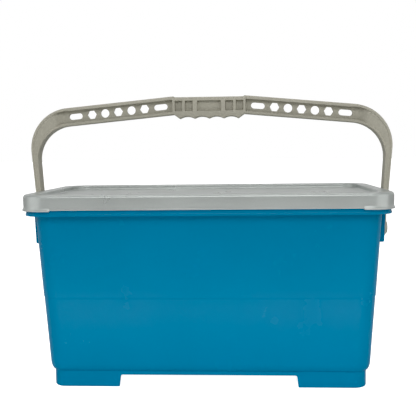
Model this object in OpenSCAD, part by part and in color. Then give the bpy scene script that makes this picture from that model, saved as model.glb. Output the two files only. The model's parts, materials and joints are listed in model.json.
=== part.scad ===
// Rectangular cleaning bucket with a lift-off lid and a swing handle.
// Millimetres, +Z up, origin at the centre of the footprint on the ground,
// length along X. The handle stands upright and the lid is on.

/* [Bucket] */
// Length over the walls, just under the rim
body_l = 453; // [445:1:458]
// Width over the walls, just under the rim
body_w = 233; // [225:1:238]
// Height of the top of the rim above the ground
body_h = 255.7; // [250:0.1:262]
// Inward lean of the walls per millimetre of depth
draft = 0.064; // [0.06:0.001:0.07]
// Wall thickness
wall_t = 2.5; // [2.3:0.1:2.5]
// Plan radius of the wall corners, just under the rim
corner_r = 28; // [26:1:30]

/* [Rim] */
// How far the rim stands out from the wall
rim_out = 11.1; // [10.8:0.1:11.5]
// Height of the rim's hanging lip
rim_h = 25.3; // [23:0.1:27]
// Thickness of the rim's lip and top
rim_t = 2.5; // [2:0.1:3]
// Plan radius of the rim's corners
rim_r = 32.1; // [30:0.1:34]

/* [Base] */
// Height of the feet
foot_h = 16; // [12:1:17]
// Height of the floor's underside
floor_z = 20; // [19:0.5:21]
// Inset of the base skirt from the wall
base_inset = 4.6; // [4:0.1:6]
// Thickness of the base skirt and the feet
skirt_t = 3.4; // [3:0.1:4]
// Distance between the feet, along the length
foot_gap_l = 234; // [200:1:250]
// Distance between the feet, along the width
foot_gap_w = 96; // [80:1:110]

/* [Handle aprons] */
// Width of each apron along the short side
apron_w = 146; // [120:1:156]
// Height of each apron's lower edge
apron_z = 189.5; // [180:0.5:190]
// Stand-off of the apron's face from the wall, at its lower edge
apron_out = 9.3; // [9:0.1:9.5]
// Thickness of the apron
apron_t = 2.5; // [2:0.1:3]

/* [Lid] */
// Thickness of the lid
lid_t = 2.2; // [2:0.1:2.4]
// Height of the lid, lower edge of the skirt to the top
lid_h = 20; // [18:0.5:22]
// Gap between the lid's skirt and the rim
lid_gap = 0.4; // [0.3:0.1:0.6]
// Width of the raised border round the panel
lid_border = 18; // [17.8:0.1:19]
// Depth of the panel below the border
tray_d = 6.5; // [5:0.5:7]
// Radius of the shoulder
shoulder_r = 4; // [3:0.5:5]
// How far the corner lips stand out and hang down
lip_out = 1.4; // [1:0.1:1.5]

/* [Handle] */
// Height of the top of the grip above the ground
grip_top = 387.5; // [384:0.5:392]
// Span over the widest part of the bends
handle_span = 511; // [507:0.1:513]
// Depth of the handle, front to back
handle_d = 19.5; // [16:0.5:20]
// Height of the arm's section
arm_h = 25.2; // [22:0.1:26]
// Fall of each arm from the grip to the bend, in degrees
arm_slope = 5.3; // [4.5:0.1:6]
// Outer radius of the bends
bend_out = 58; // [56:1:60]
// Inner radius of the bends
bend_in = 48; // [46:1:49]
// Thickness of the arm's web
web_t = 4; // [3:0.5:6]
// Thickness of the arm's upper and lower flanges
flange_t = 4.4; // [3:0.1:5]

/* [Grip] */
// Length of the grip between the centres of its end ribs
grip_l = 100.4; // [98:0.1:104]
// Distance between finger ridges
finger_pitch = 20.7; // [20:0.1:21.5]
// Depth of each finger scallop
finger_d = 3; // [2.5:0.1:5]

/* [Pivot] */
// Height of the handle's axis
pivot_z = 201; // [199:0.5:203]
// Diameter of the pivot pins
pin_d = 10; // [8:0.5:11]
// Running clearance on the radius
pin_fit = 0.06; // [0.03:0.01:0.1]

/* [Hidden] */
$fn = 64;
eps = 0.01;
slab = 0.5;                             // thickness of the slices that make the drafted shells
rim_z = body_h - rim_h;                 // lower edge of the rim
rim_l = body_l + 2 * rim_out;
rim_w = body_w + 2 * rim_out;
corner_taper = 0.03;                    // the wall corners' radius shrinks this much per millimetre of depth
round_h = 13;                           // height of the walls' rounding into the base
apron_lean = 0.034;                     // outward lean of the apron per millimetre of height
apron_sink = 1;                         // the apron runs this far into the wall
apron_gap = 0.2;                        // its hollow and its pin hole start this far outside the wall
lid_l = rim_l + 2 * (lid_gap + lid_t);
lid_w = rim_w + 2 * (lid_gap + lid_t);
lid_r = rim_r + lid_gap + lid_t;
lid_rest = 0.3;                         // gap between the lid's underside and the rim
lid_top = body_h + lid_rest + lid_t;
lid_low = lid_top - lid_h;
plug_h = 6.5;                           // how far the locating wall hangs below the panel
tray_r = 23.7;                          // plan radius of the panel recess's corners
lip_h = 3;                              // height of the corner lips above the skirt's lower edge
bend_x = handle_span / 2 - bend_out;    // centre line of both bend arcs
grip_low = grip_top + 0.9 - arm_h;      // lower line of the arm at the grip's end ribs
rib_rise = 1.3;                         // the arms meet the grip this far above its top
rib_w = 2;                              // width of each end rib of the grip
ridge_drop = 5.9;                       // the finger ridges hang this far below the arm's lower line
pocket_d = 5.5;                         // depth of the grip's pockets
pocket_rim = 4.7;                       // rim below the pockets
pocket_top = 4.9;                       // rim above the pockets
pockets = [[0, 34], [28.4, 11.4], [43, 10.8]]; // middle and width of each pocket, from the grip's middle
bend_end = -4.7;                        // the outer arc ends this many degrees past the widest point
leg_x = 242.7;                          // inner face of the leg beside the lid
leg_low_x = 239.4;                      // inner face of the leg below the rim
leg_t = 8.4;                            // thickness of the leg at the pivot
leg_turn_z = rim_z - 8;                 // the leg starts to lean out here
hub_r = 11;
hub_start = half_at(body_l, pivot_z) + apron_out + 0.7;
hub_end = leg_low_x + leg_t;            // outer face of the hub and of the leg's foot
pin_head_r = 9;
pin_head_t = 1.6;
barb_r = 6.6;
barb_t = 2;
pin_play = 0.3;                         // end play of the handle under the pin's head
hole_r = 6.1;
hex_r = 6.7;                            // middle to corner of each hexagon
slot_l = 19.4;
slot_h = 8.4;
hole_pitch = 18.9;                      // distance along the arm between hexagons and round holes
slot_step = 23.4;                       // distance from a slot to the nearest hexagon
first_slot = 68.8;                      // distance of the inner slot from the middle
arc_steps = 16;

// Half the body's length or width at height z, for a full size s under the rim
function half_at(s, z) = s / 2 - (rim_z - z) * draft;
// Plan radius of the wall corners at height z
function corner_r_at(z) = corner_r - (rim_z - z) * corner_taper;
// Height of the arm's upper line at distance x from the middle
function arm_top(x) = grip_top + rib_rise - (x - grip_l / 2) * tan(arm_slope);
// Height of the arm's lower line at distance x from the middle
function arm_low(x) = grip_low - (x - grip_l / 2) * tan(arm_slope);
// Height of the centre of a bend arc of radius r that is tangent to the arm line of height z at the bend
function bend_z(z, r) = z - r / cos(arm_slope);
// Points on an arc about (cx, cz)
function arc(cx, cz, r, a0, a1, n) =
    [for (i = [0:n]) [cx + r * cos(a0 + (a1 - a0) * i / n), cz + r * sin(a0 + (a1 - a0) * i / n)]];

module rounded_rect(l, w, r) {
    square([l - 2 * r, w], center = true);
    square([l, w - 2 * r], center = true);
    for (sx = [-1, 1], sy = [-1, 1])
        translate([sx * (l / 2 - r), sy * (w / 2 - r)])
            circle(r = r);
}

// One thin slice of the body at height z, drawn in by inset
module body_slice(z, inset) {
    translate([0, 0, z])
        linear_extrude(height = slab)
            rounded_rect(2 * (half_at(body_l, z) - inset), 2 * (half_at(body_w, z) - inset),
                         corner_r_at(z) - inset, $fn = 32);
}

// Drafted solid with a rounded lower edge, from height z0 to z1
module body_solid(z0, z1, inset) {
    hull() {
        body_slice(z1 - slab, inset);
        body_slice(z0 + round_h, inset);
        for (a = [30, 60, 90])
            body_slice(z0 + round_h * (1 - sin(a)), inset + base_inset * (1 - cos(a)));
    }
}

module rim_ring() {
    translate([0, 0, rim_z])
        linear_extrude(height = rim_h)
            rounded_rect(rim_l, rim_w, rim_r);
}

// Hollow under the rim, between the lip and the wall
module rim_channel() {
    difference() {
        translate([0, 0, rim_z - 1])
            linear_extrude(height = rim_h + 1 - rim_t)
                rounded_rect(rim_l - 2 * rim_t, rim_w - 2 * rim_t, rim_r - rim_t);
        body_solid(floor_z, body_h, 0);
    }
}

// Skirt under the floor, cut away between the feet
module base_skirt() {
    base_l = 2 * (half_at(body_l, floor_z) - base_inset);
    base_w = 2 * (half_at(body_w, floor_z) - base_inset);
    base_r = corner_r_at(floor_z) - base_inset;
    difference() {
        linear_extrude(height = floor_z + 1)
            difference() {
                rounded_rect(base_l, base_w, base_r);
                rounded_rect(base_l - 2 * skirt_t, base_w - 2 * skirt_t, base_r - skirt_t);
            }
        translate([-foot_gap_l / 2, -body_w, -1])
            cube([foot_gap_l, 2 * body_w, foot_h + 1]);
        translate([-body_l, -foot_gap_w / 2, -1])
            cube([2 * body_l, foot_gap_w, foot_h + 1]);
    }
}

// Outline of an apron across the short end: from the wall out to its face
module apron_outline(out, low, grow) {
    x_low = half_at(body_l, apron_z);
    x_top = half_at(body_l, rim_z);
    face_low = x_low + apron_out - out;
    face_top = face_low + (rim_z - apron_z) * apron_lean;
    polygon([[x_low + grow, low], [face_low, low], [face_top, rim_z + 1], [x_top + grow, rim_z + 1]]);
}

module apron(out, low, grow, w) {
    rotate([90, 0, 0])
        translate([0, 0, -w / 2])
            linear_extrude(height = w)
                apron_outline(out, low, grow);
}

// Straight bore along the pivot axis, from just outside the wall to past the hub
module pin_bore(r) {
    start = half_at(body_l, rim_z) + apron_gap;
    translate([start, 0, pivot_z])
        rotate([0, 90, 0])
            cylinder(r = r, h = hub_end + 1 - start);
}

module both_ends() {
    children();
    mirror([1, 0, 0])
        children();
}

module bucket_body() {
    color([0.0, 0.46, 0.63])
        union() {
            difference() {
                union() {
                    body_solid(floor_z, body_h, 0);
                    rim_ring();
                }
                rim_channel();
                body_solid(floor_z + wall_t, body_h + 1, wall_t);
            }
            base_skirt();
            both_ends()
                difference() {
                    apron(0, apron_z, -apron_sink, apron_w);
                    apron(apron_t, apron_z - 1, apron_gap, apron_w - 2 * apron_t);
                    pin_bore(pin_d / 2);
                }
        }
}

// The lid's outer form with its rounded shoulder
module lid_solid() {
    hull() {
        translate([0, 0, lid_low])
            linear_extrude(height = lid_h - shoulder_r)
                rounded_rect(lid_l, lid_w, lid_r, $fn = 32);
        for (a = [30, 60, 90]) {
            inset = shoulder_r * (1 - cos(a));
            translate([0, 0, lid_low])
                linear_extrude(height = lid_h - shoulder_r * (1 - sin(a)))
                    rounded_rect(lid_l - 2 * inset, lid_w - 2 * inset, lid_r - inset, $fn = 32);
        }
    }
}

// Pull lips round the four corners, at the lower edge of the skirt
module corner_lips() {
    r = lid_r + lip_out;
    intersection() {
        translate([0, 0, lid_low - lip_out])
            linear_extrude(height = lip_h + lip_out)
                rounded_rect(lid_l + 2 * lip_out, lid_w + 2 * lip_out, r);
        for (sx = [-1, 1], sy = [-1, 1])
            translate([sx * (lid_l - lid_r) / 2, sy * (lid_w - lid_r) / 2, lid_low])
                cube([r + lip_out, r + lip_out, 4 * lip_h], center = true);
    }
}

module lid() {
    tray_z = lid_top - tray_d;
    tray_l = lid_l - 2 * lid_border;
    tray_w = lid_w - 2 * lid_border;
    plug_z = tray_z - lid_t - plug_h;
    color([0.66, 0.68, 0.67])
        difference() {
            union() {
                lid_solid();
                corner_lips();
            }
            // panel recess
            translate([0, 0, tray_z])
                linear_extrude(height = tray_d + 1)
                    rounded_rect(tray_l, tray_w, tray_r);
            // channel over the rim
            translate([0, 0, lid_low - 5])
                linear_extrude(height = lid_h + 5 - lid_t)
                    difference() {
                        rounded_rect(lid_l - 2 * lid_t, lid_w - 2 * lid_t, lid_r - lid_t);
                        rounded_rect(tray_l + 2 * lid_t, tray_w + 2 * lid_t, tray_r + lid_t);
                    }
            // space under the panel, inside the locating wall
            translate([0, 0, lid_low - 5])
                linear_extrude(height = tray_z - lid_t - lid_low + 5)
                    rounded_rect(tray_l, tray_w, tray_r);
            // lower end of the locating wall
            translate([0, 0, lid_low - 5])
                linear_extrude(height = plug_z - lid_low + 5)
                    rounded_rect(lid_l - 2 * lid_t, lid_w - 2 * lid_t, lid_r - lid_t);
        }
}

// Right half of the handle's face outline, X across and height up
module half_outline() {
    out_z = bend_z(arm_top(bend_x), bend_out);
    in_z = bend_z(arm_low(bend_x), bend_in);
    up = 90 - arm_slope;
    outer = arc(bend_x, out_z, bend_out, up, bend_end, arc_steps);
    inner = arc(bend_x, in_z, bend_in, 0, up, arc_steps);
    polygon(concat(
        [[-eps, grip_top], [grip_l / 2 - rib_w, grip_top], [grip_l / 2, grip_top + rib_rise]],
        outer,
        [[leg_x + leg_t, lid_top], [leg_low_x + leg_t, leg_turn_z], [leg_low_x + leg_t, pivot_z],
         [leg_low_x, pivot_z], [leg_low_x, leg_turn_z], [leg_x - 1.5, lid_low - 2], [leg_x, lid_top - 3]],
        inner,
        [[grip_l / 2, grip_low], [-eps, grip_low]]));
}

// Ridges between the fingers: each finger's hollow is an arc between two ridges
module finger_ridges() {
    chord = finger_pitch / 2;
    finger_r = (chord * chord + finger_d * finger_d) / (2 * finger_d);
    ridge_z = grip_low - ridge_drop;
    end_x = grip_l / 2 - 0.5;
    difference() {
        translate([-2 * finger_pitch, ridge_z])
            square([4 * finger_pitch, ridge_drop + 2]);
        for (i = [-1.5:1:1.5])
            translate([i * finger_pitch, ridge_z + finger_d - finger_r])
                circle(r = finger_r);
    }
    for (s = [-1, 1])
        polygon([[s * 2 * finger_pitch, ridge_z], [s * end_x, grip_low],
                 [s * end_x, grip_low + 2], [s * 2 * finger_pitch, grip_low + 2]]);
}

// Place things along the right arm: x from the middle, at mid height of the arm, leaning with it
module on_arm(x) {
    translate([x, (arm_top(x) + arm_low(x)) / 2])
        rotate(-arm_slope)
            children();
}

module slot() {
    for (s = [-1, 1])
        translate([s * (slot_l - slot_h) / 2, 0])
            circle(d = slot_h);
    square([slot_l - slot_h, slot_h], center = true);
}

// Slots, hexagons and round holes through the right arm
module arm_holes() {
    first_hex = first_slot + slot_step;
    on_arm(first_slot)
        slot();
    for (i = [0:2])
        on_arm(first_hex + 2 * i * hole_pitch)
            circle(r = hex_r, $fn = 6);
    for (i = [0:1])
        on_arm(first_hex + (2 * i + 1) * hole_pitch)
            circle(r = hole_r);
    on_arm(first_hex + 4 * hole_pitch + slot_step)
        slot();
}

// The sunk face of the right arm, between its flanges
module arm_recess() {
    x0 = grip_l / 2 + rib_rise;
    x1 = bend_x - rib_w;
    polygon([[x0, arm_low(x0) + flange_t], [x1, arm_low(x1) + flange_t],
             [x1, arm_top(x1) - flange_t], [x0, arm_top(x0) - flange_t]]);
}

// Pockets in the grip's face: one large, two small on each side
module grip_pockets() {
    low = grip_low + pocket_rim;
    tall = grip_top - pocket_top - low;
    for (s = [-1, 1], p = pockets)
        translate([s * p[0] - p[1] / 2, low])
            square([p[1], tall]);
}

// Upright solid of a face outline, centred on the handle's middle plane
module upright(depth) {
    rotate([90, 0, 0])
        translate([0, 0, -depth / 2])
            linear_extrude(height = depth)
                children();
}

module handle() {
    color([0.63, 0.62, 0.57])
        difference() {
            union() {
                upright(handle_d)
                    union() {
                        half_outline();
                        mirror([1, 0])
                            half_outline();
                        finger_ridges();
                    }
                both_ends()
                    translate([hub_start, 0, pivot_z])
                        rotate([0, 90, 0])
                            cylinder(r = hub_r, h = hub_end - hub_start);
            }
            both_ends() {
                for (s = [-1, 1])
                    translate([0, s * (handle_d / 2 + 1), 0])
                        upright(handle_d - web_t + 2)
                            arm_recess();
                upright(handle_d + 2)
                    arm_holes();
                pin_bore(pin_d / 2 + pin_fit);
            }
            for (s = [-1, 1])
                translate([0, s * handle_d / 2, 0])
                    upright(2 * pocket_d)
                        grip_pockets();
        }
}

// Push-in pin: head outside the leg, barb inside the apron
module pivot_pin() {
    inner = half_at(body_l, apron_z) + apron_out - apron_t + (pivot_z - apron_z) * apron_lean;
    barb_x = inner - barb_t - pin_play;
    head_x = hub_end + pin_play;
    translate([0, 0, pivot_z])
        rotate([0, 90, 0]) {
            translate([0, 0, barb_x + barb_t / 2])
                cylinder(d = pin_d, h = head_x + pin_head_t / 2 - barb_x - barb_t / 2);
            translate([0, 0, barb_x])
                cylinder(r1 = pin_d / 2 - 0.6, r2 = barb_r, h = barb_t);
            translate([0, 0, head_x])
                cylinder(r1 = pin_head_r, r2 = pin_head_r - 1, h = pin_head_t);
        }
}

module pivot_pin_right() {
    color([0.55, 0.55, 0.52])
        pivot_pin();
}

module pivot_pin_left() {
    color([0.55, 0.55, 0.52])
        mirror([1, 0, 0])
            pivot_pin();
}

bucket_body();
lid();
handle();
pivot_pin_left();
pivot_pin_right();
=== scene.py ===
import json
import math

import bmesh
import bpy
from mathutils import Matrix, Vector


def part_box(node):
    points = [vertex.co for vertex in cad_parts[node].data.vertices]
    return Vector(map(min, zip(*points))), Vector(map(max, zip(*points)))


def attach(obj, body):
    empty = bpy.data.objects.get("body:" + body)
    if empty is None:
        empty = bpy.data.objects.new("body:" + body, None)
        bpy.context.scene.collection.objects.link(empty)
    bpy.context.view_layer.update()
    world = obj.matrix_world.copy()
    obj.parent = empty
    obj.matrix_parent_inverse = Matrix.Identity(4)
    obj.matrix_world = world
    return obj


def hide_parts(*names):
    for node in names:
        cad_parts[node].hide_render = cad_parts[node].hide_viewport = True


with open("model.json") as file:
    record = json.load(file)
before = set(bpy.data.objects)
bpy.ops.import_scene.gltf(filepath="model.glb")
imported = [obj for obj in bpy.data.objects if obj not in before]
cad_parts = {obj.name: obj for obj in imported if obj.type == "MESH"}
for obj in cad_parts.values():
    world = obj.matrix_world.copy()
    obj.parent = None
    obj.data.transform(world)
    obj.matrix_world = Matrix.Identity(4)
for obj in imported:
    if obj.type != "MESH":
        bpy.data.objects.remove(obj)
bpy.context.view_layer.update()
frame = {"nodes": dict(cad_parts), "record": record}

MM = 0.001


# ---------------------------------------------------------------------------
# Sizes in millimetres, worked out from the frame
# ---------------------------------------------------------------------------

def box_mm(node):
    """Lowest and highest corner of a CAD node, in millimetres."""
    low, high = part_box(node)
    return Vector(low) / MM, Vector(high) / MM


_, body_high = box_mm("bucket_body")
lid_low, lid_high = box_mm("lid")
_, handle_high = box_mm("handle")
swing = next(j for j in frame["record"]["behaviour"]["joints"] if j["name"] == "handle_swing")
PIVOT_Z = swing["pos_m"][2] / MM

# bucket
RIM_L, RIM_W = body_high.x, body_high.y          # half sizes over the rim
RIM_TOP = body_high.z
RIM_H = 25.3                                     # height of the rim's hanging lip
RIM_OUT = 11.1                                   # rim beyond the wall
RIM_LOW = RIM_TOP - RIM_H
RIM_T = 2.5
RIM_R = 31.6
RIM_ROUND = 2.0                                  # rounding of the rim's top edges
BEAD = 1.2                                       # half height of the bead along the lip's lower edge
WALL_T = 2.5
DRAFT = 0.064                                    # inward lean of the walls
WALL_R = 28.0                                    # corner radius just under the rim
CORNER_TAPER = 0.03                              # the corner radius shrinks this much per mm down
STEP_Z = 121.5                                   # faint step round the walls
STEP_OUT = 0.45
FLOOR_Z = 20.0
ROUND_H = 13.0                                   # height of the rounding into the base
BASE_INSET = 4.6
SKIRT_T = 3.4
SKIRT_ROUND = 1.6                                # rounding of the skirt's lower edge on the outside
SKIRT_ROUND_IN = 0.6                             # and on the inside
FOOT_H = 16.0
GAP_L, GAP_W = 117.0, 48.0                       # half the distances between the feet

# aprons
APRON_W = 73.0
APRON_LOW = 189.5
APRON_OUT = 9.3
APRON_T = 2.5
APRON_LEAN = 0.034

# lid
LID_T = 2.2
LID_TOP = lid_high.z
LIP = 1.4                                        # corner lips: this far out and down
LID_L, LID_W = lid_high.x - LIP, lid_high.y - LIP
LID_LOW = lid_low.z + LIP
LID_R = 34.2
BORDER = 18.0
TRAY_D = 6.5
SHOULDER = 4.2
PLUG_H = 6.5
TRAY_R = 23.7

# handle
RIB_RISE = 1.3                                   # the arms' upper ribs stand this far above the grip
GRIP_TOP = handle_high.z - RIB_RISE
SPAN = handle_high.x
DEPTH = 9.75                                     # half the handle's depth
ARM_H = 25.2
SLOPE = math.radians(5.3)
BEND_OUT, BEND_IN = 58.0, 48.0
BEND_X = SPAN - BEND_OUT
GRIP_HALF = 50.2
GRIP_LOW = GRIP_TOP + 0.9 - ARM_H
WEB_D = 7.75                                     # how far the arm's web is sunk between its flanges
BEND_SUNK = 0.9                                  # how far the faces of the bends and legs are sunk
FLANGE = 4.4
LOW_FLANGE = FLANGE - 0.6
WEB_RUN = 1.0                                    # run of the slope from a flange to the web
LEG_FLANGE, LEG_RUN = 2.0, 1.6                   # the same on the legs
PITCH = 20.7
FINGER_D = 3.0
LEG_X, LEG_LOW_X, LEG_T = 242.7, 239.4, 8.4
HUB_R = 11.0
HUB_GAP = 0.7                                    # between the apron and the hub
HUB_START = RIM_L - RIM_OUT - (RIM_LOW - PIVOT_Z) * DRAFT + APRON_OUT + HUB_GAP
HUB_END = LEG_LOW_X + LEG_T
BORE_R = 5.06
PIN_R = 5.0
SIDES = (1, -1)                                  # right and left

# shading
SHARP = math.radians(35)                         # edges bent by more than this stay hard
DOUBLED = 0.002                                  # points closer than this are joined


# ---------------------------------------------------------------------------
# Mesh helpers
# ---------------------------------------------------------------------------

def lerp(a, b, t):
    return a + (b - a) * t


def smooth(t):
    t = min(1.0, max(0.0, t))
    return t * t * (3 - 2 * t)


def steps(a, b, n):
    """n + 1 even values from a to b."""
    return [lerp(a, b, i / n) for i in range(n + 1)]


def angles(first, last, n):
    """n + 1 even angles between two given in degrees, in radians."""
    return [math.radians(a) for a in steps(first, last, n)]


def new_object(name, bm):
    """A shaded object from a bmesh in millimetres."""
    bmesh.ops.scale(bm, vec=(MM,) * 3, verts=bm.verts)
    bmesh.ops.recalc_face_normals(bm, faces=bm.faces)
    mesh = bpy.data.meshes.new(name)
    bm.to_mesh(mesh)
    bm.free()
    mesh.shade_smooth()
    mesh.set_sharp_from_angle(angle=SHARP)
    obj = bpy.data.objects.new(name, mesh)
    bpy.context.scene.collection.objects.link(obj)
    return obj


def loft(name, rings):
    """A closed object: quads between rings of equal length, and a flat cap at each end."""
    bm = bmesh.new()
    made = [[bm.verts.new(p) for p in ring] for ring in rings]
    for a, b in zip(made, made[1:]):
        for i in range(len(a)):
            j = (i + 1) % len(a)
            bm.faces.new((a[i], a[j], b[j], b[i]))
    bm.faces.new(list(reversed(made[0])))
    bm.faces.new(made[-1])
    return new_object(name, bm)


def apply_modifiers(obj):
    """Replaces the object's mesh with what its modifiers make of it."""
    graph = bpy.context.evaluated_depsgraph_get()
    graph.update()
    mesh = bpy.data.meshes.new_from_object(obj.evaluated_get(graph))
    obj.modifiers.clear()
    obj.data = mesh


def boolean(obj, others, operation):
    """Joins or cuts obj with other closed objects, which are then removed."""
    for other in others:
        mod = obj.modifiers.new(operation.lower(), "BOOLEAN")
        mod.operation = operation
        mod.solver = "EXACT"
        mod.object = other
    apply_modifiers(obj)
    for other in others:
        bpy.data.objects.remove(other)


def finish_shading(obj):
    """Removes doubled points and flattens the normals of large faces."""
    bm = bmesh.new()
    bm.from_mesh(obj.data)
    bmesh.ops.remove_doubles(bm, verts=bm.verts, dist=DOUBLED * MM)
    bmesh.ops.dissolve_degenerate(bm, edges=bm.edges, dist=DOUBLED * MM)
    bm.to_mesh(obj.data)
    bm.free()
    obj.data.shade_smooth()
    obj.data.set_sharp_from_angle(angle=SHARP)
    mod = obj.modifiers.new("weighted", "WEIGHTED_NORMAL")
    mod.keep_sharp = True
    mod.weight = 80


# ---------------------------------------------------------------------------
# Rounded-rectangle rings
# ---------------------------------------------------------------------------

CORNER_STEPS = 14


class Plan:
    """Columns round a rounded rectangle: fixed places on the straights, even angles on the corners."""

    def __init__(self, xs, ys):
        self.xs = sorted(set(xs) | {-x for x in xs})
        self.ys = sorted(set(ys) | {-y for y in ys})

    def points(self, hl, hw, r):
        """(x, y, outward x, outward y) of each column of a ring with half sizes hl and hw and radius r."""
        out = []
        sides = (
            (self.xs, lambda s: (s, -hw, 0, -1), (hl - r, -hw + r), -90),
            (self.ys, lambda s: (hl, s, 1, 0), (hl - r, hw - r), 0),
            (self.xs, lambda s: (-s, hw, 0, 1), (-hl + r, hw - r), 90),
            (self.ys, lambda s: (-hl, -s, -1, 0), (-hl + r, -hw + r), 180),
        )
        for places, place, (cx, cy), start in sides:
            out += [place(s) for s in places]
            for a in angles(start, start + 90, CORNER_STEPS):
                c, s = math.cos(a), math.sin(a)
                out.append((cx + r * c, cy + r * s, c, s))
        return out


def level(points, z):
    """A level ring through a plan's columns."""
    return [Vector((x, y, z)) for x, y, _, _ in points]


# ---------------------------------------------------------------------------
# Bucket
# ---------------------------------------------------------------------------

def wall_drop(z):
    """How far the wall at height z stands inside the wall just under the rim."""
    return (RIM_LOW - z) * DRAFT


def wall_ring(plan, z, inset):
    """A ring of the wall at height z, drawn in by inset."""
    drop = wall_drop(z)
    r = WALL_R - (RIM_LOW - z) * CORNER_TAPER - inset
    return plan.points(RIM_L - RIM_OUT - drop - inset, RIM_W - RIM_OUT - drop - inset, r)


def foot_edge(half_gap):
    """(distance along the side, height) of the lower edge of the skirt, from the gap down to the foot."""
    fillet, nose, lean = 3.0, 1.2, 1.5
    pts = [(half_gap - fillet - 1.0, FOOT_H)]
    for a in angles(0, 80, 5):
        pts.append((half_gap - fillet + fillet * math.sin(a), FOOT_H - fillet * (1 - math.cos(a))))
    top = pts[-1]
    for t in (0.35, 0.7):
        pts.append((top[0] + lean * t, lerp(top[1], nose, t)))
    for a in angles(0, 90, 4):
        pts.append((top[0] + lean + nose * (1 - math.cos(a)), nose * (1 - math.sin(a))))
    return pts


def lower_edge(x, y, hl, hw, edge_l, edge_w):
    """Height of the skirt's lower edge at a column."""
    if abs(y) > hw - 0.5:
        place, edge = abs(x), edge_l
    elif abs(x) > hl - 0.5:
        place, edge = abs(y), edge_w
    else:
        return 0.0
    if place <= edge[0][0]:
        return edge[0][1]
    for (a, za), (b, zb) in zip(edge, edge[1:]):
        if place <= b:
            return lerp(za, zb, (place - a) / max(b - a, 1e-6))
    return 0.0


def base_rings(plan, edge_l, edge_w):
    """The floor's underside, the skirt with its feet, and the rounding up into the wall."""
    base_l = RIM_L - RIM_OUT - wall_drop(FLOOR_Z) - BASE_INSET
    base_w = RIM_W - RIM_OUT - wall_drop(FLOOR_Z) - BASE_INSET

    def skirt(inset, t, lift):
        """A skirt ring: t 0 at the floor, 1 at the lower edge, lifted a little above it."""
        rows = []
        for x, y, nx, ny in wall_ring(plan, FLOOR_Z, BASE_INSET + inset):
            low = lower_edge(x + nx * inset, y + ny * inset, base_l, base_w, edge_l, edge_w) + lift
            rows.append(Vector((x, y, lerp(FLOOR_Z, low, t))))
        return rows

    # underside of the floor, then down the inside of the skirt
    rings = [level(wall_ring(plan, FLOOR_Z, BASE_INSET + SKIRT_T + 2.0), FLOOR_Z), skirt(SKIRT_T, 0.08, 0.0)]
    rings += [skirt(SKIRT_T, t, SKIRT_ROUND_IN) for t in (0.5, 1.0)]
    # round the lower edge and up the outside
    for a in (0, 40, 90):
        rise = math.sin(math.radians(a))
        rings.append(skirt(SKIRT_T - SKIRT_ROUND_IN * rise, 1.0, SKIRT_ROUND_IN * (1 - rise)))
    for a in angles(0, 90, 3):
        rings.append(skirt(SKIRT_ROUND * (1 - math.sin(a)), 1.0, SKIRT_ROUND * (1 - math.cos(a))))
    rings += [skirt(0.0, t, SKIRT_ROUND) for t in (0.66, 0.33)]
    # step out from the skirt under the rounded edge of the wall
    rings.append(level(wall_ring(plan, FLOOR_Z, BASE_INSET), FLOOR_Z + 1.4))
    rings.append(level(wall_ring(plan, FLOOR_Z + 2, BASE_INSET), FLOOR_Z + 2.0))
    for a in angles(8, 90, 8):
        z = FLOOR_Z + 2.1 + (ROUND_H - 2.1) * (1 - math.cos(a))
        rings.append(level(wall_ring(plan, z, (BASE_INSET - 0.35) * (1 - math.sin(a))), z))
    return rings


def outside_rings(plan):
    """The wall from its rounded edge to the rim, with its faint step."""
    rings = []
    for z, out in ((60, 0), (90, 0), (STEP_Z - 0.9, 0), (STEP_Z - 0.3, STEP_OUT * 0.25),
                   (STEP_Z + 0.3, STEP_OUT * 0.75), (STEP_Z + 0.9, STEP_OUT)):
        rings.append(level(wall_ring(plan, z, -out), z))
    for z in (150, 180, 205, RIM_LOW - 4):
        out = STEP_OUT * (1 - (z - STEP_Z) / (RIM_LOW - STEP_Z))
        rings.append(level(wall_ring(plan, z, -out), z))
    return rings


def rim_rings(plan):
    """The channel behind the rim's lip, the lip with its bead, and the rounded top edge."""
    in_l, in_w, in_r = RIM_L - RIM_T, RIM_W - RIM_T, RIM_R - RIM_T
    channel_top = RIM_TOP - RIM_T
    rings = [level(wall_ring(plan, z, 0.0), z) for z in (RIM_LOW + 6, channel_top - 1.5)]
    rings.append(level(wall_ring(plan, channel_top, -1.5), channel_top))
    rings.append(level(plan.points(in_l - 1.5, in_w - 1.5, in_r - 1.5), channel_top))
    for z in (channel_top - 1.5, RIM_LOW + 6, RIM_LOW + BEAD):
        rings.append(level(plan.points(in_l, in_w, in_r), z))
    # rounded bead along the lip's lower edge, then up its outer face
    for a in angles(180, 360, 8):
        out = RIM_T / 2 * math.cos(a)
        middle = RIM_T / 2 + out
        z = RIM_LOW + BEAD + BEAD * math.sin(a)
        rings.append(level(plan.points(in_l + middle, in_w + middle, in_r + middle), z))
    for z, inset in ((RIM_LOW + 2.6, 0.1), (RIM_LOW + 3.8, 0.75), (RIM_LOW + 6.0, 0.85)):
        rings.append(level(plan.points(RIM_L - inset, RIM_W - inset, RIM_R - inset), z))
    for a in angles(0, 90, 5):
        inset = 0.9 + RIM_ROUND * (1 - math.cos(a))
        z = RIM_TOP - RIM_ROUND * (1 - math.sin(a))
        rings.append(level(plan.points(RIM_L - inset, RIM_W - inset, RIM_R - inset), z))
    return rings


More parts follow.
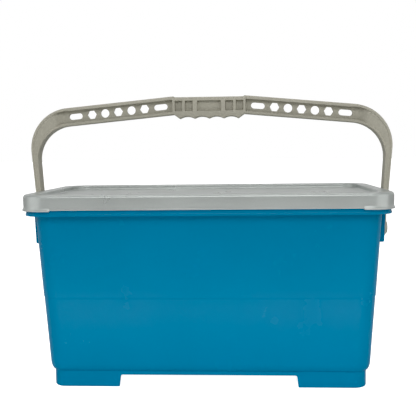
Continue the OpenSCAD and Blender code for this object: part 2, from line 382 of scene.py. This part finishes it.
def inside_rings(plan):
    """Over the rim's top, down the inside of the wall and onto the floor."""
    rings = []
    for a in angles(90, 0, 4):
        z = RIM_TOP - RIM_ROUND * (1 - math.sin(a))
        rings.append(level(wall_ring(plan, z, WALL_T - RIM_ROUND * (1 - math.cos(a))), z))
    for z in (230, 180, 122, 80, FLOOR_Z + WALL_T + ROUND_H):
        rings.append(level(wall_ring(plan, z, WALL_T), z))
    for a in angles(80, 0, 7):
        z = FLOOR_Z + WALL_T + ROUND_H * (1 - math.cos(a))
        rings.append(level(wall_ring(plan, z, WALL_T + (BASE_INSET + 4) * (1 - math.sin(a))), z))
    return rings


def build_bucket():
    edge_l, edge_w = foot_edge(GAP_L), foot_edge(GAP_W)
    plan = Plan([0, 40, 80, 150] + [p[0] for p in edge_l], [0, 20, 65] + [p[0] for p in edge_w])
    rings = base_rings(plan, edge_l, edge_w) + outside_rings(plan) + rim_rings(plan) + inside_rings(plan)
    return loft("bucket_shell", rings)


def build_apron(side):
    """A hanging apron on one short end, sunk a little into the wall and the rim."""
    sunk, chamfer, rounding = 1.2, 1.0, 1.4
    wall = RIM_L - RIM_OUT - wall_drop(APRON_LOW)
    face = wall + APRON_OUT
    top = RIM_LOW + 8
    lean = (top - APRON_LOW) * APRON_LEAN
    edge = []
    for k in (0.0, 0.15, 0.45, 1.0):
        a = math.radians(90 * k)
        edge.append((-APRON_W + rounding * (1 - math.cos(a)), rounding * (1 - math.sin(a))))
    rings = []
    for y, inset in edge + [(-y, inset) for y, inset in reversed(edge)]:
        outline = ((wall - sunk, APRON_LOW), (face - inset - chamfer, APRON_LOW),
                   (face - inset, APRON_LOW + chamfer), (face + lean - inset, top), (wall - sunk, top))
        rings.append([Vector((side * x, y, z)) for x, z in outline])
    return loft("apron_%d" % side, rings)


def build_apron_hollow(side):
    """The space that makes an apron thin-walled and open below."""
    wall = RIM_L - RIM_OUT - wall_drop(APRON_LOW) + 0.25
    face = RIM_L - RIM_OUT - wall_drop(APRON_LOW) + APRON_OUT - APRON_T
    low, top = APRON_LOW - 1, RIM_LOW + 9
    outline = ((wall - DRAFT, low), (face, low), (face + (top - APRON_LOW) * APRON_LEAN, top),
               (wall + (top - APRON_LOW) * DRAFT, top))
    half_w = APRON_W - APRON_T
    rings = [[Vector((side * x, y, z)) for x, z in outline] for y in (-half_w, half_w)]
    return loft("apron_hollow_%d" % side, rings)


ROUND_STEPS = 64


def turned(name, side, profile):
    """A closed solid turned about the pivot, from (distance from the middle, radius) pairs."""
    turn = [2 * math.pi * i / ROUND_STEPS for i in range(ROUND_STEPS)]
    rings = []
    for x, r in profile:
        rings.append([Vector((side * x, r * math.cos(a), PIVOT_Z + r * math.sin(a))) for a in turn])
    return loft(name, rings)


# ---------------------------------------------------------------------------
# Lid
# ---------------------------------------------------------------------------

LIP_X, LIP_Y = 198.0, 88.0                       # the corner lips start here on the long and short sides
PANEL_INSET = -14.0                              # the flat panel starts this far inside the recess


def build_lid():
    plan = Plan([0, 60, 120, 180, LIP_X - 1.0, LIP_X], [0, 40, LIP_Y - 1.0, LIP_Y])
    tray_z = LID_TOP - TRAY_D
    tray_l, tray_w = LID_L - BORDER, LID_W - BORDER
    plug_low = tray_z - LID_T - PLUG_H

    def skirt(inset, z, lip_share):
        """A skirt ring that swells into the corner lips."""
        row = []
        for x, y, nx, ny in plan.points(LID_L - inset, LID_W - inset, LID_R - inset):
            at_corner = 1.0 if abs(x) > LIP_X - 0.5 and abs(y) > LIP_Y - 0.5 else 0.0
            out = LIP * lip_share * at_corner
            row.append(Vector((x + nx * out, y + ny * out, z - out)))
        return row

    def border(inset, z):
        return level(plan.points(LID_L - inset, LID_W - inset, LID_R - inset), z)

    def tray(grow, z):
        return level(plan.points(tray_l + grow, tray_w + grow, TRAY_R + grow), z)

    rings = [tray(PANEL_INSET, tray_z), tray(-3.0, tray_z)]
    # fillet from the panel up the recess wall, and over its rounded edge
    for a in angles(0, 90, 4):
        rings.append(tray(-2.0 + 2.0 * math.sin(a), tray_z + 2.0 * (1 - math.cos(a))))
    for a in angles(0, 90, 5):
        rings.append(tray(0.3 + 1.8 * (1 - math.cos(a)), LID_TOP - 1.8 * (1 - math.sin(a))))
    # rounded shoulder
    for a in angles(90, 0, 8):
        rings.append(border(SHOULDER * (1 - math.cos(a)), LID_TOP - SHOULDER * (1 - math.sin(a))))
    # skirt, its beaded lower edge and the corner lips
    rings.append(skirt(0.0, LID_LOW + 10.0, 0.0))
    rings.append(skirt(0.15, LID_LOW + 4.4, 0.0))
    rings.append(skirt(0.35, LID_LOW + 2.7, 0.25))
    rings.append(skirt(0.1, LID_LOW + 2.0, 0.8))
    for a in angles(30, -90, 6):
        rings.append(skirt(1.1 - 1.1 * math.cos(a), LID_LOW + 1.1 + 1.1 * math.sin(a), 1.0))
    rings.append(skirt(LID_T - 0.3, LID_LOW, 1.0))
    rings.append(skirt(LID_T, LID_LOW + 0.8, 0.7))
    rings.append(border(LID_T, LID_LOW + 5.0))
    # underside of the border, locating wall, underside of the panel
    rings.append(border(LID_T, LID_TOP - LID_T - 1.8))
    rings.append(border(LID_T + 1.8, LID_TOP - LID_T))
    rings.append(tray(LID_T + 1.0, LID_TOP - LID_T))
    rings.append(tray(LID_T, LID_TOP - LID_T - 1.0))
    rings.append(tray(LID_T - 0.1, plug_low + 0.9))
    rings.append(tray(LID_T - 0.6, plug_low))
    rings.append(tray(0.5, plug_low))
    rings.append(tray(0.0, plug_low + 0.7))
    rings.append(tray(0.0, tray_z - LID_T - 1.0))
    rings.append(tray(-1.0, tray_z - LID_T))
    rings.append(tray(PANEL_INSET, tray_z - LID_T))
    return loft("lid_shell", rings)


# ---------------------------------------------------------------------------
# Handle
# ---------------------------------------------------------------------------

def arm_top(x):
    return GRIP_TOP + RIB_RISE - (x - GRIP_HALF) * math.tan(SLOPE)


def arm_low(x):
    return GRIP_LOW - (x - GRIP_HALF) * math.tan(SLOPE)


RIDGE_Z = GRIP_LOW - 5.9
FINGER_R = ((PITCH / 2) ** 2 + FINGER_D ** 2) / (2 * FINGER_D)


def grip_underside(x):
    """Lower edge of the grip: finger hollows between ridges, then up to the arm."""
    last = 2 * PITCH
    if x >= last:
        rise = lerp(RIDGE_Z, GRIP_LOW, (x - last) / (GRIP_HALF - 0.5 - last))
        return min(rise, arm_low(max(x, GRIP_HALF)))
    off = (x % PITCH) - PITCH / 2
    z = RIDGE_Z + FINGER_D - FINGER_R + math.sqrt(FINGER_R ** 2 - off ** 2)
    return max(z, RIDGE_Z + 0.35)


POCKETS = ((-17.0, 17.0), (22.7, 34.1), (37.6, 48.4))  # grip pockets, on the right half
POCKET_LOW, POCKET_TOP = GRIP_LOW + 4.7, GRIP_TOP - 4.9
POCKET_D = 5.5
WALL_RUN = 0.8                                   # run of a pocket's drafted wall


FACE_SHARES = (0.0, 0.12, 0.5, 0.88, 1.0)        # places along the run from a flange to the sunk face


def section(p_in, p_out, flange_in, flange_out, sunk, run_in, run_out):
    """Closed section from the lower or inner edge p_in to the upper or outer edge p_out, in the XZ plane."""
    h = math.dist(p_in, p_out)
    r = 1.3
    corner = [(r * (1 - math.cos(a)), -DEPTH + r * (1 - math.sin(a))) for a in angles(0, 90, 4)]
    half = list(corner)
    for t in FACE_SHARES:
        half.append((flange_in + run_in * t, -DEPTH + sunk * smooth(t)))
    for t in reversed(FACE_SHARES):
        half.append((h - flange_out - run_out * t, -DEPTH + sunk * smooth(t)))
    half += [(h - v, y) for v, y in reversed(corner)]
    full = half + [(v, -y) for v, y in reversed(half)]
    ux, uz = (p_out[0] - p_in[0]) / h, (p_out[1] - p_in[1]) / h
    return [Vector((p_in[0] + ux * v, y, p_in[1] + uz * v)) for v, y in full]


def grip_sections():
    """From the middle to the grip's end, with finger hollows below and pockets in the faces."""
    marks = set(steps(0, GRIP_HALF, 36)) | {PITCH, 2 * PITCH, GRIP_HALF - 2.0, GRIP_HALF - 1.0, GRIP_HALF}
    for a, b in POCKETS:
        for edge, into in ((a, 1), (b, -1)):
            if edge > 0:
                marks |= {edge, edge + into * WALL_RUN * 0.5, edge + into * WALL_RUN, edge - into * 0.02}
    out = []
    for x in sorted(marks):
        low = grip_underside(x)
        top = GRIP_TOP + RIB_RISE * smooth((x - GRIP_HALF + 2.4) / 2.4)
        sunk = 0.0
        for a, b in POCKETS:
            if a < x < b:
                sunk = POCKET_D * smooth(min(x - a, b - x) / WALL_RUN)
        out.append(section((x, low), (x, top), POCKET_LOW - low, top - POCKET_TOP, sunk, WALL_RUN, WALL_RUN))
    return out


def arm_sections():
    """The straight arm, with its web sunk between two flanges."""
    start = GRIP_HALF + 1.2
    places = [start, start + 0.02, start + 0.4, start + 0.8, start + 1.0] + steps(start + 4, BEND_X, 46)
    out = []
    for x in places:
        sunk = WEB_D * smooth((x - start) / 0.9)
        out.append(section((x, arm_low(x)), (x, arm_top(x)), LOW_FLANGE, FLANGE, sunk, WEB_RUN, WEB_RUN))
    return out


def bend_edges(t):
    """Inner and outer edge of the bend, between its two arcs: t 0 at the arm, 1 at the leg."""
    start = 90 - math.degrees(SLOPE)
    out_z = arm_top(BEND_X) - BEND_OUT / math.cos(SLOPE)
    in_z = arm_low(BEND_X) - BEND_IN / math.cos(SLOPE)
    a = math.radians(lerp(start, -4.7, t))
    b = math.radians(lerp(start, 0, t))
    return ((BEND_X + BEND_IN * math.cos(b), in_z + BEND_IN * math.sin(b)),
            (BEND_X + BEND_OUT * math.cos(a), out_z + BEND_OUT * math.sin(a)))


def bend_sections():
    out = []
    for t in steps(0, 1, 34)[1:]:
        p_in, p_out = bend_edges(t)
        sunk = lerp(WEB_D, BEND_SUNK, smooth((t - 0.07) / 0.2))
        flange, run = lerp(LOW_FLANGE, LEG_FLANGE, t), lerp(WEB_RUN, LEG_RUN, t)
        out.append(section(p_in, p_out, flange, 3.6, sunk, WEB_RUN, run))
    return out


def leg_sections():
    """The leg, from the end of the bend down to the pivot."""
    p_in, p_out = bend_edges(1.0)
    under_rim = RIM_LOW - 8
    inner = [p_in, (LEG_X, LID_TOP - 3), (LEG_X - 1.5, LID_LOW - 2), (LEG_LOW_X, under_rim)]
    inner.append((LEG_LOW_X, PIVOT_Z))
    outer = [p_out, (LEG_X + LEG_T, LID_TOP), (LEG_LOW_X + LEG_T, under_rim), (LEG_LOW_X + LEG_T, PIVOT_Z)]

    def along(path, z):
        for (xa, za), (xb, zb) in zip(path, path[1:]):
            if z >= zb:
                return lerp(xa, xb, (za - z) / (za - zb)) if za != zb else xb
        return path[-1][0]

    out = []
    for t in steps(0, 1, 30)[1:]:
        z_in, z_out = lerp(p_in[1], PIVOT_Z, t), lerp(p_out[1], PIVOT_Z, t)
        sunk = BEND_SUNK * (1 - smooth((t - 0.75) / 0.2))
        ends = (along(inner, z_in), z_in), (along(outer, z_out), z_out)
        out.append(section(*ends, LEG_FLANGE, 2.2, sunk, WEB_RUN, LEG_RUN))
    return out


def hub(side):
    """Round hub at the leg's foot with softened edges, closed, without its bore."""
    r = 1.0
    edge = [(r * (1 - math.cos(a)), HUB_R - r * (1 - math.sin(a))) for a in angles(0, 90, 3)]
    profile = [(HUB_START + x, q) for x, q in edge] + [(HUB_END - x, q) for x, q in reversed(edge)]
    return turned("hub_%d" % side, side, profile)


def prism_y(name, outline):
    """A cutter through the handle from front to back, with the outline opened a little at the web's faces."""
    web = DEPTH - WEB_D
    cx = sum(p[0] for p in outline) / len(outline)
    cz = sum(p[1] for p in outline) / len(outline)
    rings = []
    for y, grow in ((-DEPTH - 2, 0.45), (-web - 0.02, 0.45), (-web + 0.45, 0.0), (web - 0.45, 0.0),
                    (web + 0.02, 0.45), (DEPTH + 2, 0.45)):
        ring = []
        for x, z in outline:
            d = math.hypot(x - cx, z - cz)
            ring.append(Vector((x + (x - cx) / d * grow, y, z + (z - cz) / d * grow)))
        rings.append(ring)
    return loft(name, rings)


HEX_R, ROUND_R, SLOT_L, SLOT_H = 6.7, 6.1, 19.4, 8.4
FIRST_SLOT, SLOT_STEP, HOLE_PITCH = 68.8, 23.4, 18.9


def hole_outlines(side):
    """Outlines of the holes along one arm."""
    def place(x, pts):
        cz = (arm_top(x) + arm_low(x)) / 2
        c, s = math.cos(-SLOPE), math.sin(-SLOPE)
        return [(side * (x + u * c - v * s), cz + u * s + v * c) for u, v in pts]

    def arc(r, turn, cx=0.0):
        return [(cx + r * math.cos(a), r * math.sin(a)) for a in turn]

    def hexagon():
        """A hexagon with rounded corners."""
        pts = []
        corner = 0.9
        middle = HEX_R - corner * 1.15
        for a in angles(0, 300, 5):
            for da in angles(-30, 30, 4):
                pts.append((middle * math.cos(a) + corner * math.cos(a + da),
                            middle * math.sin(a) + corner * math.sin(a + da)))
        return pts

    run = (SLOT_L - SLOT_H) / 2
    slot = arc(SLOT_H / 2, angles(-90, 90, 14), run) + arc(SLOT_H / 2, angles(90, 270, 14), -run)
    circle = arc(ROUND_R, angles(0, 360, 40)[:-1])
    first_hex = FIRST_SLOT + SLOT_STEP
    made = [place(FIRST_SLOT, slot)]
    made += [place(first_hex + 2 * i * HOLE_PITCH, hexagon()) for i in range(3)]
    made += [place(first_hex + (2 * i + 1) * HOLE_PITCH, circle) for i in range(2)]
    made.append(place(first_hex + 4 * HOLE_PITCH + SLOT_STEP, slot))
    return made


def build_handle():
    right = grip_sections() + arm_sections() + bend_sections() + leg_sections()
    left = [[Vector((-p.x, p.y, p.z)) for p in ring] for ring in right[1:]]
    obj = loft("swing_handle", list(reversed(left)) + right)
    boolean(obj, [hub(side) for side in SIDES], "UNION")
    bore = ((HUB_START - 3, BORE_R), (HUB_END + 3, BORE_R))
    cutters = [turned("bore_%d" % side, side, bore) for side in SIDES]
    for side in SIDES:
        cutters += [prism_y("hole", outline) for outline in hole_outlines(side)]
    boolean(obj, cutters, "DIFFERENCE")
    finish_shading(obj)
    return obj


# ---------------------------------------------------------------------------
# Materials
# ---------------------------------------------------------------------------

def noise(mat, scale, detail):
    """The value of a 3-D noise fixed to the object, from 0 to 1."""
    nodes, links = mat.node_tree.nodes, mat.node_tree.links
    place = nodes.new("ShaderNodeTexCoord")
    node = nodes.new("ShaderNodeTexNoise")
    node.inputs["Scale"].default_value = scale
    node.inputs["Detail"].default_value = detail
    links.new(place.outputs["Object"], node.inputs["Vector"])
    return node.outputs["Fac"]


def mapped(mat, value, low, high, to_low, to_high):
    """A value carried from one range to another."""
    node = mat.node_tree.nodes.new("ShaderNodeMapRange")
    node.inputs["From Min"].default_value = low
    node.inputs["From Max"].default_value = high
    node.inputs["To Min"].default_value = to_low
    node.inputs["To Max"].default_value = to_high
    mat.node_tree.links.new(value, node.inputs["Value"])
    return node.outputs["Result"]


def edge_mask(mat, radius):
    """0 on open faces, rising to 1 on edges: where a rounded normal leaves the true one."""
    nodes, links = mat.node_tree.nodes, mat.node_tree.links
    rounded = nodes.new("ShaderNodeBevel")
    rounded.samples = 4
    rounded.inputs["Radius"].default_value = radius
    true = nodes.new("ShaderNodeNewGeometry")
    dot = nodes.new("ShaderNodeVectorMath")
    dot.operation = "DOT_PRODUCT"
    links.new(rounded.outputs["Normal"], dot.inputs[0])
    links.new(true.outputs["Normal"], dot.inputs[1])
    return mapped(mat, dot.outputs["Value"], 0.98, 0.8, 0.0, 1.0)


def tinted(mat, colour, factor, share):
    """A colour socket scaled by 1 + share where factor is 1."""
    nodes, links = mat.node_tree.nodes, mat.node_tree.links
    node = nodes.new("ShaderNodeVectorMath")
    node.operation = "SCALE"
    links.new(colour, node.inputs[0])
    links.new(mapped(mat, factor, 0.0, 1.0, 1.0, 1.0 + share), node.inputs["Scale"])
    return node.outputs["Vector"]


def plastic(name, colour, roughness, shine=0.5, metallic=0.0, mottle=0.04, speckle=0.0, gloss=0.06,
            grain=0.0006, grain_depth=0.00004, edge_highlight=0.12):
    """Moulded plastic: cloudy colour, fine speckle, a painted highlight along the edges, uneven gloss and a
    grained skin.
    """
    mat = bpy.data.materials.new(name)
    mat.use_nodes = True
    nodes, links = mat.node_tree.nodes, mat.node_tree.links
    shader = nodes["Principled BSDF"]
    shader.inputs["IOR"].default_value = 1.49
    shader.inputs["Specular IOR Level"].default_value = shine
    shader.inputs["Metallic"].default_value = metallic

    ramp = nodes.new("ShaderNodeValToRGB")
    ramp.color_ramp.elements[0].position = 0.3
    ramp.color_ramp.elements[0].color = (*[c * (1 - mottle) for c in colour], 1)
    ramp.color_ramp.elements[1].position = 0.7
    ramp.color_ramp.elements[1].color = (*[c * (1 + mottle) for c in colour], 1)
    links.new(noise(mat, 9.0, 4.0), ramp.inputs["Fac"])
    specks = mapped(mat, noise(mat, 420.0, 2.0), 0.35, 0.65, -1.0, 1.0)
    paint = tinted(mat, ramp.outputs["Color"], specks, speckle)
    # painted highlight: the base colour is made lighter along rounded edges, standing in for edges catching
    # light
    paint = tinted(mat, paint, edge_mask(mat, 0.0012), edge_highlight)
    links.new(paint, shader.inputs["Base Color"])

    links.new(mapped(mat, noise(mat, 26.0, 6.0), 0.3, 0.7, roughness - gloss, roughness + gloss),
              shader.inputs["Roughness"])
    bump = nodes.new("ShaderNodeBump")
    bump.inputs["Distance"].default_value = grain_depth
    links.new(noise(mat, 1 / grain, 2.0), bump.inputs["Height"])
    links.new(bump.outputs["Normal"], shader.inputs["Normal"])
    return mat


# ---------------------------------------------------------------------------
# Build
# ---------------------------------------------------------------------------

# each plastic's base colour carries a painted highlight along its edges, weaker on the lid
blue = plastic("bucket_plastic", (0.0, 0.155, 0.283), 0.26, shine=0.18, mottle=0.02, speckle=0.02, gloss=0.02)
grey = plastic("lid_plastic", (0.41, 0.435, 0.42), 0.32, metallic=0.5, speckle=0.02, edge_highlight=0.06,
               grain_depth=0.000015)
beige = plastic("handle_plastic", (0.36, 0.348, 0.29), 0.5, shine=0.3, speckle=0.1, grain=0.0009,
                grain_depth=0.00008)
pin_grey = plastic("pin_plastic", (0.3, 0.29, 0.25), 0.4)

bucket = build_bucket()
for side in SIDES:
    boolean(bucket, [build_apron(side)], "UNION")
    boolean(bucket, [build_apron_hollow(side)], "DIFFERENCE")
pin_hole = ((HUB_START - 6.0, PIN_R), (HUB_START + 4, PIN_R))
boolean(bucket, [turned("pin_hole_%d" % side, side, pin_hole) for side in SIDES], "DIFFERENCE")
finish_shading(bucket)
lid = build_lid()
finish_shading(lid)
handle = build_handle()

PIECES = (
    (bucket, blue, "bucket", "bucket_body", "bucket_plastic"),
    (lid, grey, "lid", "lid", "lid_plastic"),
    (handle, beige, "handle", "handle", "handle_plastic"),
)
for obj, mat, body, node, slot in PIECES:
    obj.data.materials.clear()
    obj.data.materials.append(mat)
    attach(obj, body)
    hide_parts(node)
for node in ("pivot_pin_left", "pivot_pin_right"):
    for place in frame["nodes"][node].material_slots:
        place.material = pin_grey


# ---------------------------------------------------------------------------
# Stage, light and camera
# ---------------------------------------------------------------------------

def stage_material(name, colour, roughness):
    mat = bpy.data.materials.new(name)
    mat.use_nodes = True
    shader = mat.node_tree.nodes["Principled BSDF"]
    shader.inputs["Base Color"].default_value = (*colour, 1)
    shader.inputs["Roughness"].default_value = roughness
    return mat


def build_floor():
    """A wide white floor. It glows for the camera only, so its own light doesn't reach under the object."""
    bm = bmesh.new()
    bmesh.ops.create_grid(bm, x_segments=2, y_segments=2, size=20000)
    obj = new_object("floor", bm)
    mat = stage_material("floor_paper", (0.75, 0.75, 0.75), 0.9)
    shader = mat.node_tree.nodes["Principled BSDF"]
    shader.inputs["Emission Color"].default_value = (1, 1, 1, 1)
    shader.inputs["Specular IOR Level"].default_value = 0.0
    nodes, links = mat.node_tree.nodes, mat.node_tree.links
    path = nodes.new("ShaderNodeLightPath")
    links.new(path.outputs["Is Camera Ray"], shader.inputs["Emission Strength"])
    obj.data.materials.append(mat)


def area_light(name, place, target, size, power, mirrored=True):
    data = bpy.data.lights.new(name, "AREA")
    data.shape = "RECTANGLE"
    data.size, data.size_y = size
    data.energy = power
    obj = bpy.data.objects.new(name, data)
    obj.location = place
    obj.visible_camera = False
    obj.visible_glossy = mirrored
    obj.rotation_mode = "QUATERNION"
    obj.rotation_quaternion = (Vector(target) - Vector(place)).to_track_quat("-Z", "Y")
    bpy.context.scene.collection.objects.link(obj)


def build_world():
    """White to the camera. As a light it is a bright wall behind the object and a dim room in front."""
    world = bpy.data.worlds.new("studio")
    bpy.context.scene.world = world
    world.use_nodes = True
    nodes, links = world.node_tree.nodes, world.node_tree.links
    back = nodes["Background"]
    back.inputs["Color"].default_value = (1, 1, 1, 1)
    way = nodes.new("ShaderNodeTexCoord")
    split = nodes.new("ShaderNodeSeparateXYZ")
    links.new(way.outputs["Generated"], split.inputs[0])
    room = nodes.new("ShaderNodeMapRange")
    room.inputs["From Min"].default_value = -0.6
    room.inputs["From Max"].default_value = 0.8
    room.inputs["To Min"].default_value = 0.16
    room.inputs["To Max"].default_value = 0.7
    links.new(split.outputs["Y"], room.inputs["Value"])
    path = nodes.new("ShaderNodeLightPath")
    mix = nodes.new("ShaderNodeMix")
    mix.inputs["B"].default_value = 1.0
    links.new(path.outputs["Is Camera Ray"], mix.inputs["Factor"])
    links.new(room.outputs["Result"], mix.inputs["A"])
    links.new(mix.outputs["Result"], back.inputs["Strength"])


def build_camera():
    """The camera stands a little right of the middle and above the lid, looking slightly down and left."""
    place = Vector((0.0544, -1.0126, 0.3132))
    yaw, pitch, roll = math.radians(-3.27), math.radians(4.69), math.radians(-0.69)
    ahead = Vector((math.sin(yaw) * math.cos(pitch), math.cos(yaw) * math.cos(pitch), -math.sin(pitch)))
    right = Vector((math.cos(yaw), -math.sin(yaw), 0))
    up = right.cross(ahead)
    data = bpy.data.cameras.new("camera")
    data.sensor_width = 36.0
    data.lens = 61.37
    obj = bpy.data.objects.new("camera", data)
    axes = Matrix((math.cos(roll) * right + math.sin(roll) * up,
                   -math.sin(roll) * right + math.cos(roll) * up, -ahead)).transposed()
    obj.matrix_world = Matrix.Translation(place) @ axes.to_4x4()
    bpy.context.scene.collection.objects.link(obj)
    bpy.context.scene.camera = obj


build_floor()
build_world()
build_camera()
area_light("key", (0.1, -1.6, 1.2), (0, 0, 0.2), (1.6, 0.8), 13)
area_light("low_fill", (0.0, -0.37, 0.02), (0, -0.1, 0.03), (0.9, 0.05), 0.85, mirrored=False)
area_light("overhead", (0.0, 0.0, 1.6), (0, 0, 0.1), (1.6, 0.8), 6)
area_light("left_box", (-1.35, -0.75, 0.6), (0, 0, 0.2), (1.5, 1.2), 6)
area_light("right_box", (1.35, -0.75, 0.6), (0, 0, 0.2), (1.5, 1.2), 6)
view = bpy.context.scene.view_settings
view.view_transform = "Standard"
view.use_curve_mapping = True
view.curve_mapping.black_level = (0.02, 0.02, 0.02)
